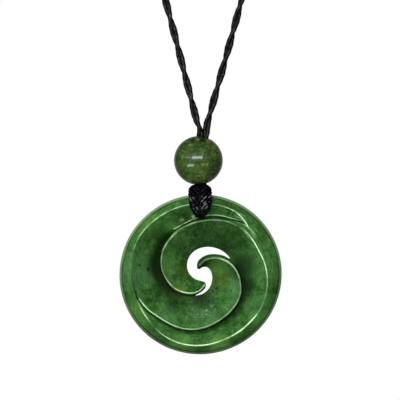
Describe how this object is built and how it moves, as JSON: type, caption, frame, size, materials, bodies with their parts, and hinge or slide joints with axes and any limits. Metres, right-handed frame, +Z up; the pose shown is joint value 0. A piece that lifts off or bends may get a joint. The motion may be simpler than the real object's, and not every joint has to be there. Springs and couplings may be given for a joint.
{
  "type": "koru pendant",
  "caption": "Round jade pendant carved as a double koru spiral with a pierced centre, lashed under a drilled bead on a twisted black neck cord.",
  "frame": {"origin": "on the wearer's nape, at the middle of the neck-facing side of the join of the neck cord", "axes": "+Z up, +X to the viewer's right, the disc's carved face towards -Y"},
  "size_m": [0.1222, 0.1488, 0.2922],
  "materials": {
    "disc_jade": "polished",
    "bead_jade": "polished",
    "lashing_cord": "waxed plait",
    "neck_cord": "waxed twist",
    "knot_cord": "waxed"
  },
  "bodies": {
    "root": {"koru_disc": "disc_jade", "bead": "bead_jade", "lashing": "lashing_cord", "neck_cord_left": "neck_cord", "neck_cord_right": "neck_cord", "nape_knot": "knot_cord"}
  },
  "joints": []
}
